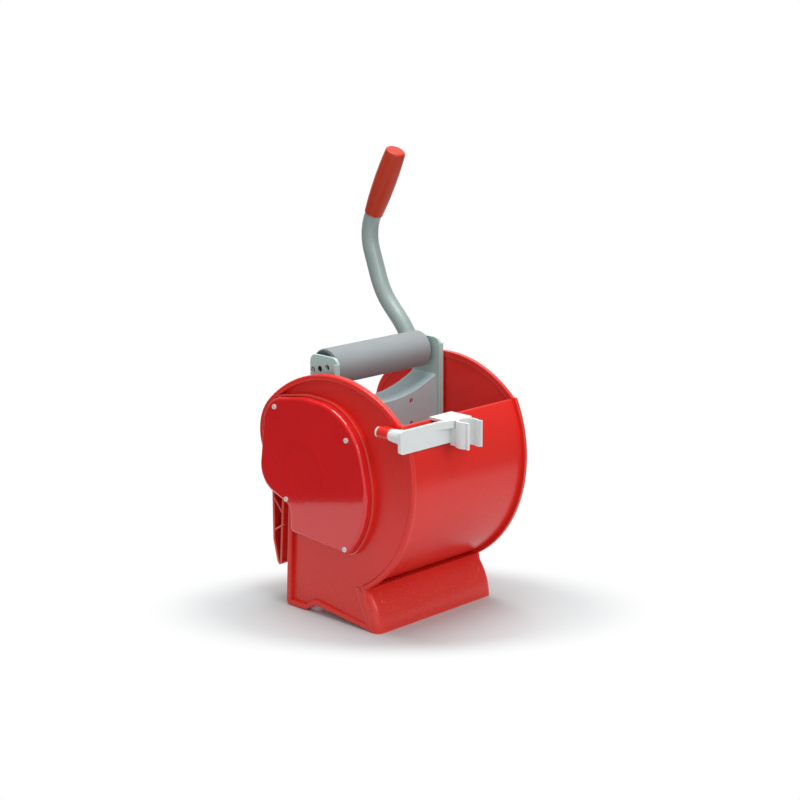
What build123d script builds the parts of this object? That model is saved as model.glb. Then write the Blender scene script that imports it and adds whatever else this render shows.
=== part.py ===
"""Roller mop wringer: a moulded drum with a swinging roller carriage and a side lever.

X runs across the drum with the lever at +X, Y runs from the front wall to the
bucket hook, and Z is up. The origin is the middle of the front skirt's lower edge.
All sizes are millimetres.
"""
import os
from math import asin, cos, degrees, radians, sin, sqrt, tan

from build123d import *

# Drum: the axis that the carriage turns on, and the front wall round it
AXIS_Y = 113.0
AXIS_Z = 213.0
WALL_R = 174.0
WALL_T = 4.0
WALL_TOP_Z = 293.0
WALL_PAST_BOTTOM = 18.0
BEAD_R = 3.0
DRUM_CLEAR_W = 214.0

# Side plates: web, outline and a rim that is flush in front and stands out at the rear
WEB_T = 4.0
RIM_T = 8.0
RIM_PROUD_IN = 1.0
RIM_PROUD_FRONT = 0.4
RIM_PROUD_REAR = 7.0
RIM_ROUND = 3.0
FLANGE_STEP = 6.0
STEP_RISE = 3.0
CROWN_R = 182.0
CROWN_AHEAD = 33.0
CROWN_BELOW = 53.0
SHOULDER_RISE = 78.0
REAR_REACH = 111.0
REAR_RISE = 15.0
HIP_REACH = 81.0
HIP_DROP = 50.0
WAIST_REACH = 58.0
WAIST_DROP = 65.0
FOOT_REACH = 65.0
FOOT_L = 38.0
ARCH_H = 12.0
ARCH_RUN = 20.0
PLATE_CORNER = 4.0

# Front skirt, with a small round pip at each end
SKIRT_T = 4.0
SKIRT_TOP_Z = 57.0
SKIRT_DEPTH = 18.0
SKIRT_CORNER = 10.0
SKIRT_INSET = 0.3
PIP_R = 2.0
PIP_H = 0.9
PIP_IN = 16.0
PIP_Z = 40.0

# Drain slots through the bottom of the drum wall
SLOT_L = 26.0
SLOT_W = 6.0
SLOT_PITCH = 36.0
SLOT_COUNT = 5
SLOT_ROWS = 3
SLOT_FIRST_ANGLE = 70.0
SLOT_STEP_ANGLE = 11.0

# Bucket hook behind the body
HOOK_GAP = 20.0
HOOK_DEPTH = 24.0
HOOK_WALL = 3.5
HOOK_DROP = 103.0
HOOK_TAPER = 36.0
HOOK_TIP = 9.0
HOOK_RAKE = 7.0
HOOK_RISE = 27.0
HOOK_ROUND = 2.0
HOOK_WEB_T = 2.4
HOOK_WEB_FALL = 24.0
HOOK_WEB_LOW = 50.0
HOOK_WEB_CLIMB = 13.0
BRIDGE_T = 4.0

# Side cover and the lip of the case that it closes
COVER_DEPTH = 18.0
COVER_T = 2.5
COVER_ROUND = 5.0
COVER_R = 116.0
COVER_BACK = 7.0
COVER_BELOW = 22.0
BROW_R = 90.0
BROW_AHEAD = 14.0
BROW_RISE = 3.0
CREST_R = 35.0
CREST_BACK = 54.5
CREST_RISE = 52.0
COVER_REAR = 100.5
COVER_REAR_TILT = 8.0
COVER_WAIST = 42.0
COVER_WAIST_DROP = 63.0
COVER_HEEL_DROP = 99.0
COVER_FLOOR_TILT = 4.0
COVER_HIP_RISE = 20.0
COVER_REAR_R = 24.0
COVER_HIP_R = 38.0
COVER_WAIST_R = 11.0
COVER_HEEL_R = 7.0
COVER_TOE_R = 14.0
CREST_SCREW_IN = 10.0
CREST_SCREW_ANGLE = 57.0
BROW_SCREW_IN = 13.0
BROW_SCREW_ANGLE = 141.0
TOE_SCREW_IN = 7.5
TOE_SCREW_ANGLE = 225.5
WAIST_SCREW_IN = 7.0
WAIST_SCREW_ALONG = 8.0
LIP_GAP = 0.6
LIP_T = 2.6
LIP_H = 7.0
LIP_CREST_BACK = 77.0
LIP_CREST_RISE = 90.0
LIP_TOE_AHEAD = 65.0
LIP_TOE_DROP = 117.0
COVER_RING_R = 41.0
COVER_RING_W = 3.0
COVER_RING_H = 0.8
COVER_RING_BACK = 12.0
COVER_RING_BELOW = 10.0
POST_R = 4.0
COVER_SCREW_R = 2.0
COVER_SCREW_HEAD_R = 3.4
COVER_SCREW_HEAD_H = 2.0
COVER_SCREW_HEX_R = 1.9
COVER_SCREW_HEX_D = 1.2
COVER_SCREW_L = 14.0
SCREW_PLAY = 0.2

# Main shaft, its bushes and its bosses
SHAFT_R = 10.0
SHAFT_CHAMFER = 0.8
RUN_PLAY = 0.05
CUT_PAST = 1.0
BUSH_T = 3.0
BUSH_FLANGE_R = 17.0
BUSH_FLANGE_T = 4.0
BOSS_R = 22.0
BOSS_PROUD_IN = 3.0
BOSS_PROUD_OUT = 5.0
END_PLAY = 0.4

# Carriage arms
ARM_T = 4.0
ARM_W = 54.0
ARM_TOP = 149.0
ARM_CORNER = 11.0
ARM_FOLD_W = 8.0
ARM_FOLD_T = 3.0
ARM_FOLD_FROM = 30.0
ARM_FOLD_TO = 141.0
COLLAR_R = 18.0
COLLAR_L = 16.0
COLLAR_PIN_R = 3.0

# Press channel between the arms
CHANNEL_T = 3.0
CHANNEL_BACK = 7.0
CHANNEL_DEPTH = 45.0
CHANNEL_MID = 72.0
CHANNEL_SAG = 24.0
CHANNEL_FOOT = 22.0
CHANNEL_HOLE_R = 4.0
CHANNEL_HOLE_X = 47.0
CHANNEL_HOLE_DROP = 6.0
CHANNEL_HOLE_PITCH = 33.0
TAB_H = 44.0
TAB_BOLT_PITCH = 28.0
TAB_BOLT_IN = 20.0
BOLT_R = 3.0
BOLT_HEAD_R = 5.5
BOLT_HEAD_H = 4.0
NUT_R = 5.7
NUT_H = 5.0

# Roller, with three holes in each arm to set its height over the drum wall
ROLLER_R = 25.5
ROLLER_END_GAP = 4.1
ROLLER_ROUND = 1.5
ROLLER_TUBE_R = 20.0
ROLLER_TUBE_T = 3.0
ROLLER_BACK = 7.7
ROLLER_UP = 130.6
PLUG_FLANGE_R = 23.0
PLUG_FLANGE_T = 2.5
PLUG_L = 16.0
AXLE_R = 7.0
HOLE_PITCH = 14.5
HOLE_TILT = 13.5
HOLE_R = 4.3
AXLE_SCREW_R = 4.0
AXLE_SCREW_L = 22.0
AXLE_SCREW_CHAMFER = 0.6
AXLE_SCREW_HEX_R = 2.3
AXLE_SCREW_HEX_D = 3.0

# Lever: hub, bent tube and grip
LEVER_LEAN = 28.2
LEVER_RUN_1 = 162.0
LEVER_LEAN_2 = 45.5
LEVER_RUN_2 = 67.5
LEVER_LEAN_3 = 20.0
LEVER_RUN_3 = 93.0
LEVER_LEAN_4 = -26.5
LEVER_BEND_1 = 140.0
LEVER_BEND_2 = 108.0
LEVER_BEND_3 = 67.0
TUBE_R = 12.5
TUBE_T = 2.0
GRIP_FROM = 31.5
GRIP_L = 105.5
GRIP_R_LOW = 13.6
GRIP_R_MID = 15.2
GRIP_R_TOP = 14.2
GRIP_END = 8.0
GRIP_ROUND = 2.8
HUB_R = 21.0
HUB_SIDE = 0.6
HUB_ROUND = 1.5
HUB_GAP = 0.5
SOCKET_T = 3.5
SOCKET_ROUND = 2.0
SOCKET_L = 82.0
SOCKET_FLOOR = 28.0
HUB_BOLT_AT = 62.0
HUB_WASHER_R = 16.0
HUB_WASHER_T = 3.0
HUB_SCREW_R = 5.0
HUB_SCREW_HEAD_R = 8.5
HUB_SCREW_HEAD_H = 5.5
HUB_SCREW_L = 25.0

# Stop arm and rubber stops inside the case
SWING = 105.0
STOP_T = 5.0
STOP_R = 60.0
STOP_HALF_W = 9.0
STOP_HUB_R = 19.0
STOP_ROUND = 4.5
BUMPER_R = 8.0
BUMPER_HOLE_R = 3.0
BUMPER_AT = 50.0
BUMPER_GAP = 0.3
CIRCLIP_T = 1.2
CIRCLIP_R = 13.0
CIRCLIP_GROOVE = 1.2
CIRCLIP_MOUTH = 5.0
SHAFT_END = 1.2

# Handle clip on its pin at the front corner
CLIP_PIN_R = 3.0
CLIP_BOSS_R = 8.0
CLIP_BOSS_L = 20.0
CLIP_FOOT_H = 13.0
CLIP_BOSS_Y = -20.0
CLIP_DROP = 7.5
CLIP_OUT = 13.0
CLIP_GAP = 0.4
CLIP_HUB_R = 10.5
CLIP_BLADE_T = 5.0
CLIP_BLADE_H = 30.5
CLIP_BLADE_TOP = 10.5
CLIP_BLADE_CLEAR = 3.0
CLIP_BLADE_ROUND = 5.0
CLIP_BLOCK_X = -33.0
CLIP_BLOCK_W = 42.0
CLIP_BLOCK_T = 3.5
CLIP_BLOCK_LIFT = 0.4
CLIP_BRACKET_OUT = 9.0
CLIP_BRACKET_H = 10.0
CLIP_BRACKET_LEAD = 18.0
CLIP_BRACKET_CUT = 8.0
CLIP_REACH = 20.8
CLIP_NECK_W = 20.0
CLIP_RING_R = 11.5
CLIP_RING_T = 4.0
CLIP_RING_H = 35.0
CLIP_MOUTH = 19.0
CLIP_PRONG_T = 3.2
CLIP_PRONG_FROM = 8.2
CLIP_PRONG_TO = 14.0
CLIP_PRONG_IN = 11.2
CLIP_PRONG_OUT = 12.6
CLIP_HEAD_R = 7.0
CLIP_HEAD_T = 4.0
CLIP_HEAD_ROUND = 1.0

# Places that follow from the sizes above
WEB_X = DRUM_CLEAR_W / 2
WEB_OUT = WEB_X + WEB_T
RIM_IN = WEB_X - RIM_PROUD_IN
FLANGE_R = WALL_R + FLANGE_STEP
FRONT_Y = AXIS_Y - FLANGE_R
HEEL_Y = AXIS_Y + FOOT_REACH
RIM_SLOPE = (RIM_PROUD_REAR - RIM_PROUD_FRONT) / (HEEL_Y - FRONT_Y)
CROWN_Y = AXIS_Y - CROWN_AHEAD
CROWN_Z = AXIS_Z - CROWN_BELOW
BUSH_R = SHAFT_R + BUSH_T
BOSS_IN = WEB_X - BOSS_PROUD_IN
BOSS_OUT = WEB_OUT + BOSS_PROUD_OUT
ARM_OUT = BOSS_IN - BUSH_FLANGE_T - END_PLAY
ARM_IN = ARM_OUT - ARM_T
COVER_FACE = WEB_OUT + COVER_DEPTH
ROLLER_L = 2 * (ARM_IN - PLUG_FLANGE_T - ROLLER_END_GAP)
ROLLER_Y = AXIS_Y + ROLLER_BACK
ROLLER_Z = AXIS_Z + ROLLER_UP
SOCKET_R = TUBE_R + SOCKET_T
HUB_L = 2 * (SOCKET_R + HUB_SIDE)
CLIP_X = -WEB_OUT - CLIP_OUT
CLIP_Z = WALL_TOP_Z - CLIP_DROP


def circle_y(centre, radius, z, side):
    """Y where a circle in the side view crosses the height z, on the side -1 or +1."""
    return centre[0] + side * sqrt(radius**2 - (z - centre[1]) ** 2)


def polar(radius, angle):
    """Point at an angle from straight up about the drum axis, positive to the rear."""
    return (AXIS_Y + radius * sin(radians(angle)), AXIS_Z + radius * cos(radians(angle)))


def rim_out(y):
    """X of the rim's outer face, which leans outwards from the front to the rear."""
    return WEB_OUT + RIM_PROUD_FRONT + RIM_SLOPE * (y - FRONT_Y)


axis_point = (AXIS_Y, AXIS_Z)
crown_point = (CROWN_Y, CROWN_Z)
toe_y = -SKIRT_T / 2
step_z = WALL_TOP_Z + STEP_RISE
skirt_top = (circle_y(axis_point, FLANGE_R, SKIRT_TOP_Z, -1), SKIRT_TOP_Z)
step_low = (circle_y(axis_point, FLANGE_R, step_z, -1), step_z)
step_high = (circle_y(crown_point, CROWN_R, step_z, -1), step_z)
shoulder_z = AXIS_Z + SHOULDER_RISE
shoulder = (circle_y(crown_point, CROWN_R, shoulder_z, 1), shoulder_z)
rear = (AXIS_Y + REAR_REACH, AXIS_Z + REAR_RISE)
hip = (AXIS_Y + HIP_REACH, AXIS_Z - HIP_DROP)
waist = (AXIS_Y + WAIST_REACH, AXIS_Z - WAIST_DROP)
arch_rear = (HEEL_Y - FOOT_L, 0)
arch_top = (HEEL_Y - FOOT_L - ARCH_RUN, ARCH_H)
foot_front = (toe_y + SKIRT_CORNER, 0)

# Side view outline of the plates: behind the skirt, drum front, step, crown, rear bulge and feet
with BuildLine() as plate_line:
    Line(foot_front, skirt_top)
    ThreePointArc(skirt_top, (FRONT_Y, AXIS_Z), step_low)
    Line(step_low, step_high)
    crown = ThreePointArc(step_high, (CROWN_Y, CROWN_Z + CROWN_R), shoulder)
    bulge = TangentArc(shoulder, rear, tangent=crown % 1)
    TangentArc(rear, hip, tangent=bulge % 1)
    FilletPolyline(
        hip,
        waist,
        (HEEL_Y, PLATE_CORNER),
        (HEEL_Y - PLATE_CORNER, 0),
        arch_rear,
        arch_top,
        foot_front,
        radius=PLATE_CORNER,
    )

# Skirt: a round-cornered shell in front of the drum, with a shelf back to the wall
skirt_half = rim_out(toe_y) - SKIRT_INSET


def skirt_block(inset, corner):
    """Solid in the skirt's side profile, moved in by a wall, with rounded front corners."""
    with BuildPart() as block:
        with BuildSketch(Plane.YZ.offset(inset - skirt_half)):
            with BuildLine():
                front = TangentArc(
                    (toe_y + inset, -inset),
                    (skirt_top[0] + inset, SKIRT_TOP_Z - inset),
                    tangent=(0, 1),
                )
                Polyline(
                    front @ 1,
                    (skirt_top[0] + inset + SKIRT_DEPTH, SKIRT_TOP_Z - inset),
                    (toe_y + inset + SKIRT_DEPTH, -inset),
                    front @ 0,
                )
            make_face()
        extrude(amount=2 * (skirt_half - inset))
        fillet(block.edges().filter_by(GeomType.CIRCLE), radius=corner)
    return block.part


skirt_run = skirt_top[0] - toe_y
skirt_r = (skirt_run**2 + SKIRT_TOP_Z**2) / (2 * skirt_run)
pip_run = sqrt(skirt_r**2 - PIP_Z**2)
pip_plane = Plane(origin=(0, toe_y + skirt_r - pip_run, PIP_Z), x_dir=(1, 0, 0), z_dir=(0, -pip_run, PIP_Z))
with BuildPart() as skirt:
    add(skirt_block(0, SKIRT_CORNER))
    add(skirt_block(SKIRT_T, SKIRT_CORNER - SKIRT_T), mode=Mode.SUBTRACT)
    with BuildSketch(pip_plane):
        with Locations((PIP_IN - WEB_OUT, 0), (WEB_OUT - PIP_IN, 0)):
            Circle(PIP_R)
    extrude(amount=PIP_H, both=True)

# Side view outline of the cover: a wide D with a full brow, a crest and a waist at its lower rear
cover_mid = (AXIS_Y + COVER_BACK, AXIS_Z - COVER_BELOW)
cover_brow = (AXIS_Y - BROW_AHEAD, AXIS_Z + BROW_RISE)
cover_crest = (AXIS_Y + CREST_BACK, AXIS_Z + CREST_RISE)
cover_rear_y = AXIS_Y + COVER_REAR
cover_waist = (AXIS_Y + COVER_WAIST, AXIS_Z - COVER_WAIST_DROP)
cover_heel = (cover_waist[0], AXIS_Z - COVER_HEEL_DROP)
cover_hip = (cover_rear_y, cover_waist[1] + (COVER_REAR - COVER_WAIST) * tan(radians(COVER_HIP_RISE)))
cover_shoulder = (cover_rear_y - CREST_RISE * tan(radians(COVER_REAR_TILT)), cover_crest[1])
before_toe = (cover_mid[0] - COVER_R, cover_heel[1])


def cover_profile(grow):
    """The cover's outline, or the same outline grown evenly by a gap or a wall."""
    far = 4 * COVER_R
    lean = radians(COVER_REAR_TILT)
    floor = radians(COVER_FLOOR_TILT)
    rear_edge = Location((cover_rear_y + grow * cos(lean), AXIS_Z + grow * sin(lean), 0), COVER_REAR_TILT)
    floor_edge = Location(
        (cover_heel[0] + grow * sin(floor), cover_heel[1] - grow * cos(floor), 0),
        COVER_FLOOR_TILT,
    )
    hip_shift = grow / cos(radians(COVER_HIP_RISE)) - grow * tan(radians(COVER_HIP_RISE))
    hip_climb = far * tan(radians(COVER_HIP_RISE))
    with BuildSketch() as shape:
        with Locations(cover_mid):
            Circle(COVER_R + grow)
        with Locations(cover_brow):
            Circle(BROW_R + grow)
        with Locations(cover_crest):
            Circle(CREST_R + grow)
        make_hull()
        with Locations(rear_edge):
            Rectangle(far, far, align=(Align.MIN, Align.CENTER), mode=Mode.SUBTRACT)
        with Locations(floor_edge):
            Rectangle(far, far, align=(Align.CENTER, Align.MAX), mode=Mode.SUBTRACT)
        with BuildLine():
            Polyline(
                (cover_waist[0] + grow, cover_waist[1] - far),
                (cover_waist[0] + grow, cover_waist[1] - hip_shift),
                (cover_waist[0] + grow + far, cover_waist[1] - hip_shift + hip_climb),
                (cover_waist[0] + grow + far, cover_waist[1] - far),
                close=True,
            )
        make_face(mode=Mode.SUBTRACT)
        fillet(shape.vertices().sort_by_distance(cover_shoulder)[0], radius=COVER_REAR_R + grow)
        fillet(shape.vertices().sort_by_distance(cover_hip)[0], radius=COVER_HIP_R + grow)
        fillet(shape.vertices().sort_by_distance(cover_waist)[0], radius=COVER_WAIST_R - grow)
        fillet(shape.vertices().sort_by_distance(cover_heel)[0], radius=COVER_HEEL_R + grow)
        fillet(shape.vertices().sort_by_distance(before_toe)[0], radius=COVER_TOE_R + grow)
    return shape.sketch


def about(centre, reach, angle):
    """Point in the side view at a distance and an angle from the rear about a centre."""
    return (centre[0] + reach * cos(radians(angle)), centre[1] + reach * sin(radians(angle)))


hip_rise = radians(COVER_HIP_RISE)
waist_screw = (
    cover_waist[0] + WAIST_SCREW_ALONG * cos(hip_rise) - WAIST_SCREW_IN * sin(hip_rise),
    cover_waist[1] + WAIST_SCREW_ALONG * sin(hip_rise) + WAIST_SCREW_IN * cos(hip_rise),
)
cover_screw_points = [
    about(cover_crest, CREST_R - CREST_SCREW_IN, CREST_SCREW_ANGLE),
    about(cover_brow, BROW_R - BROW_SCREW_IN, BROW_SCREW_ANGLE),
    waist_screw,
    about(cover_mid, COVER_R - TOE_SCREW_IN, TOE_SCREW_ANGLE),
]

# Rubber stops stand either side of the stop arm's travel, which hangs down at rest
bumper_lead = degrees(asin((STOP_HALF_W + BUMPER_R + BUMPER_GAP) / BUMPER_AT))
bumper_points = [
    polar(BUMPER_AT, 180 + bumper_lead),
    polar(BUMPER_AT, 180 - SWING - bumper_lead),
]

# Hook profile, square at the top and drawn in to a rounded tip
hook_in = waist[0] + HOOK_GAP
hook_out = hook_in + HOOK_DEPTH
hook_tip_z = waist[1] + BRIDGE_T - HOOK_DROP
hook_top_z = waist[1] + BRIDGE_T + HOOK_RISE
hook_mid = (hook_in + HOOK_RAKE + HOOK_TIP / 2, hook_tip_z)

rim_face = Plane(origin=(rim_out(FRONT_Y), FRONT_Y, 0), x_dir=(0, 0, 1), z_dir=(1, -RIM_SLOPE, 0))
with BuildPart() as body:
    # One side: rounded rim with its leaning face, and web, then its mirror image
    with BuildSketch(Plane.YZ.offset(RIM_IN)):
        make_face(plate_line.edges())
        offset(amount=-RIM_T, mode=Mode.SUBTRACT)
    extrude(amount=COVER_FACE - RIM_IN)
    split(bisect_by=rim_face, keep=Keep.BOTTOM)
    fillet(body.faces().filter_by(rim_face).edges(), radius=RIM_ROUND)
    with BuildSketch(Plane.YZ.offset(WEB_X)):
        make_face(plate_line.edges())
        offset(amount=-RIM_T / 2)
    extrude(amount=WEB_T)
    mirror(about=Plane.YZ)
    # Case on the outside of the left plate: floor, room for the cover, and lip
    with BuildSketch(Plane.YZ.offset(-WEB_OUT)):
        add(cover_profile(LIP_GAP + LIP_T))
    extrude(amount=WEB_T)
    with BuildSketch(Plane.YZ.offset(-COVER_FACE)):
        add(cover_profile(LIP_GAP))
    extrude(amount=COVER_DEPTH, mode=Mode.SUBTRACT)
    with BuildSketch(Plane.YZ.offset(-WEB_OUT - LIP_H)):
        add(cover_profile(LIP_GAP + LIP_T))
        add(cover_profile(LIP_GAP), mode=Mode.SUBTRACT)
        with BuildLine():
            Polyline(
                (AXIS_Y + LIP_CREST_BACK, AXIS_Z + LIP_CREST_RISE),
                (AXIS_Y - LIP_TOE_AHEAD, AXIS_Z - LIP_TOE_DROP),
                (AXIS_Y + 2 * COVER_R, AXIS_Z - 2 * COVER_R),
                (AXIS_Y + 2 * COVER_R, AXIS_Z + LIP_CREST_RISE),
                close=True,
            )
        make_face(mode=Mode.SUBTRACT)
    extrude(amount=LIP_H)
    # Shaft bosses through both webs
    for side in (-1, 1):
        with BuildSketch(Plane.YZ.offset(side * BOSS_IN)):
            with Locations(axis_point):
                Circle(BOSS_R)
        extrude(amount=side * (BOSS_OUT - BOSS_IN))
    # Front wall round the axis, from its top edge to just past the bottom
    with BuildSketch(Plane.YZ.offset(-WEB_X)):
        with Locations(axis_point):
            Circle(WALL_R)
            Circle(WALL_R - WALL_T, mode=Mode.SUBTRACT)
        with Locations((AXIS_Y + WALL_PAST_BOTTOM, WALL_TOP_Z)):
            Rectangle(2 * WALL_R, 2 * WALL_R, align=(Align.MAX, Align.MAX), mode=Mode.INTERSECT)
    extrude(amount=DRUM_CLEAR_W)
    with BuildSketch(Plane.YZ.offset(-WEB_X)):
        with Locations((circle_y(axis_point, WALL_R - WALL_T / 2, WALL_TOP_Z, -1), WALL_TOP_Z - BEAD_R)):
            Circle(BEAD_R)
    extrude(amount=DRUM_CLEAR_W)
    add(skirt.part)
    # Drain slots
    for row in range(SLOT_ROWS):
        tilt = radians(SLOT_FIRST_ANGLE + row * SLOT_STEP_ANGLE)
        outward = Vector(0, -cos(tilt), -sin(tilt))
        seat = Vector(0, AXIS_Y, AXIS_Z) + outward * (WALL_R - WALL_T / 2)
        with BuildSketch(Plane(origin=seat, x_dir=(1, 0, 0), z_dir=outward)):
            with GridLocations(SLOT_PITCH, 0, SLOT_COUNT, 1):
                SlotOverall(SLOT_L, SLOT_W)
        extrude(amount=WALL_T, both=True, mode=Mode.SUBTRACT)
    # Bucket hook: a hollow wedge with cross webs, and the bridge over its slot
    with BuildSketch(Plane.YZ.offset(-WEB_X)):
        with BuildLine():
            FilletPolyline(
                (hook_in, hook_top_z),
                (hook_in, waist[1]),
                (hook_in + HOOK_RAKE, hook_tip_z + HOOK_TIP / 2),
                hook_mid,
                (hook_in + HOOK_RAKE + HOOK_TIP, hook_tip_z + HOOK_TIP / 2),
                (hook_out, hook_tip_z + HOOK_TAPER),
                (hook_out, hook_top_z),
                close=True,
                radius=HOOK_ROUND,
            )
        make_face()
        offset(amount=-HOOK_WALL, mode=Mode.SUBTRACT)
    extrude(amount=DRUM_CLEAR_W)
    low_web_z = waist[1] - HOOK_WEB_LOW
    for outer_z, inner_z in (
        (waist[1], waist[1] - HOOK_WEB_FALL),
        (low_web_z, low_web_z + HOOK_WEB_CLIMB),
    ):
        with BuildSketch(Plane.YZ.offset(-WEB_X)):
            with BuildLine():
                Line((hook_out - HOOK_WALL / 2, outer_z), (hook_in + HOOK_WALL / 2, inner_z))
            trace(line_width=HOOK_WEB_T)
        extrude(amount=DRUM_CLEAR_W)
    with BuildSketch(Plane.YZ.offset(-WEB_X)):
        with Locations((waist[0] - RIM_T, waist[1])):
            Rectangle(HOOK_GAP + RIM_T + HOOK_WALL / 2, BRIDGE_T, align=(Align.MIN, Align.MIN))
    extrude(amount=DRUM_CLEAR_W)
    # Screw posts and stop posts in the case
    with BuildSketch(Plane.YZ.offset(-COVER_FACE + COVER_T)):
        with Locations(*cover_screw_points):
            Circle(POST_R)
            Circle(COVER_SCREW_R, mode=Mode.SUBTRACT)
    extrude(amount=COVER_DEPTH - COVER_T)
    with BuildSketch(Plane.YZ.offset(-BOSS_OUT - END_PLAY - STOP_T)):
        with Locations(*bumper_points):
            Circle(BUMPER_HOLE_R)
    extrude(amount=BOSS_OUT + END_PLAY + STOP_T - WEB_OUT)
    # Boss for the clip pin, with a foot on the left rim
    with BuildSketch(Plane.XZ.offset(-CLIP_BOSS_Y)):
        with Locations((CLIP_X, CLIP_Z)):
            Circle(CLIP_BOSS_R)
            Rectangle(CLIP_OUT, CLIP_FOOT_H, align=(Align.MIN, Align.CENTER))
    extrude(amount=CLIP_BOSS_L)
    with BuildSketch(Plane.XZ.offset(-CLIP_BOSS_Y)):
        with Locations((CLIP_X, CLIP_Z)):
            Circle(CLIP_PIN_R + RUN_PLAY)
    extrude(amount=CLIP_BOSS_L, mode=Mode.SUBTRACT)
    # Bush seats right through both bosses
    for side in (-1, 1):
        with BuildSketch(Plane.YZ.offset(side * BOSS_IN)):
            with Locations(axis_point):
                Circle(BUSH_R)
        extrude(amount=side * (BOSS_OUT - BOSS_IN), mode=Mode.SUBTRACT)

# Glossy side cover: a shallow tray with a rounded edge and a low ring on its face
with BuildPart() as cover:
    with BuildSketch(Plane.YZ.offset(-COVER_FACE)):
        add(cover_profile(0))
    extrude(amount=COVER_DEPTH)
    fillet(cover.faces().sort_by(Axis.X)[0].edges(), radius=COVER_ROUND)
    with BuildSketch(Plane.YZ.offset(-COVER_FACE + COVER_T)):
        add(cover_profile(-COVER_T))
    extrude(amount=COVER_DEPTH, mode=Mode.SUBTRACT)
    with BuildSketch(Plane.YZ.offset(-COVER_FACE - COVER_RING_H)):
        with Locations((AXIS_Y + COVER_RING_BACK, AXIS_Z - COVER_RING_BELOW)):
            Circle(COVER_RING_R)
            Circle(COVER_RING_R - COVER_RING_W, mode=Mode.SUBTRACT)
    extrude(amount=COVER_RING_H + COVER_T / 2)
    with BuildSketch(Plane.YZ.offset(-COVER_FACE)):
        with Locations(*cover_screw_points):
            Circle(COVER_SCREW_R + SCREW_PLAY)
    extrude(amount=COVER_T, mode=Mode.SUBTRACT)

with BuildPart() as cover_screws:
    with BuildSketch(Plane.YZ.offset(-COVER_FACE - COVER_SCREW_HEAD_H)):
        with Locations(*cover_screw_points):
            Circle(COVER_SCREW_HEAD_R)
    extrude(amount=COVER_SCREW_HEAD_H)
    with BuildSketch(Plane.YZ.offset(-COVER_FACE - COVER_SCREW_HEAD_H)):
        with Locations(*cover_screw_points):
            RegularPolygon(COVER_SCREW_HEX_R, 6)
    extrude(amount=COVER_SCREW_HEX_D, mode=Mode.SUBTRACT)
    with BuildSketch(Plane.YZ.offset(-COVER_FACE)):
        with Locations(*cover_screw_points):
            Circle(COVER_SCREW_R)
    extrude(amount=COVER_SCREW_L)

# Bushes pressed into the bosses, flanged towards the arms
with BuildPart() as shaft_bushes:
    with BuildSketch(Plane.YZ.offset(BOSS_IN)):
        with Locations(axis_point):
            Circle(BUSH_R)
    extrude(amount=BOSS_OUT - BOSS_IN)
    with BuildSketch(Plane.YZ.offset(BOSS_IN - BUSH_FLANGE_T)):
        with Locations(axis_point):
            Circle(BUSH_FLANGE_R)
    extrude(amount=BUSH_FLANGE_T)
    with BuildSketch(Plane.YZ.offset(BOSS_IN - BUSH_FLANGE_T)):
        with Locations(axis_point):
            Circle(SHAFT_R + RUN_PLAY)
    extrude(amount=BOSS_OUT - BOSS_IN + BUSH_FLANGE_T, mode=Mode.SUBTRACT)
    mirror(about=Plane.YZ)

# Main shaft from the circlip in the case to the lever hub
shaft_left = BOSS_OUT + END_PLAY + STOP_T + CIRCLIP_T + SHAFT_END
hub_x = BOSS_OUT + HUB_GAP
shaft_right = hub_x + HUB_L
with BuildPart() as main_shaft:
    with BuildSketch(Plane.YZ.offset(-shaft_left)):
        with Locations(axis_point):
            Circle(SHAFT_R)
    extrude(amount=shaft_left + shaft_right)
    chamfer(main_shaft.edges().filter_by(GeomType.CIRCLE), length=SHAFT_CHAMFER)
    with BuildSketch(Plane.YZ.offset(shaft_right - HUB_SCREW_L)):
        with Locations(axis_point):
            Circle(HUB_SCREW_R)
    extrude(amount=HUB_SCREW_L, mode=Mode.SUBTRACT)
    with BuildSketch(Plane.YZ.offset(-shaft_left + SHAFT_END)):
        with Locations(axis_point):
            Circle(SHAFT_R)
            Circle(SHAFT_R - CIRCLIP_GROOVE, mode=Mode.SUBTRACT)
    extrude(amount=CIRCLIP_T, mode=Mode.SUBTRACT)
    for side in (-1, 1):
        with BuildSketch(Plane.XY.offset(AXIS_Z)):
            with Locations((side * (ARM_IN - COLLAR_L / 2), AXIS_Y)):
                Circle(COLLAR_PIN_R)
        extrude(amount=SHAFT_R + CUT_PAST, both=True, mode=Mode.SUBTRACT)

# Three axle holes in a slanting row, so that each one sets another roller height
row_tilt = radians(HOLE_TILT)
hole_points = []
for place in (-1, 0, 1):
    hole_points.append(
        (
            ROLLER_Y + place * HOLE_PITCH * cos(row_tilt),
            ROLLER_Z - place * HOLE_PITCH * sin(row_tilt),
        )
    )
tab_mid_z = AXIS_Z + CHANNEL_FOOT + TAB_H / 2
tab_bolt_y = AXIS_Y - ARM_W / 2 + CHANNEL_BACK + TAB_BOLT_IN
bolt_points = [
    (tab_bolt_y, tab_mid_z - TAB_BOLT_PITCH / 2),
    (tab_bolt_y, tab_mid_z + TAB_BOLT_PITCH / 2),
]


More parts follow.
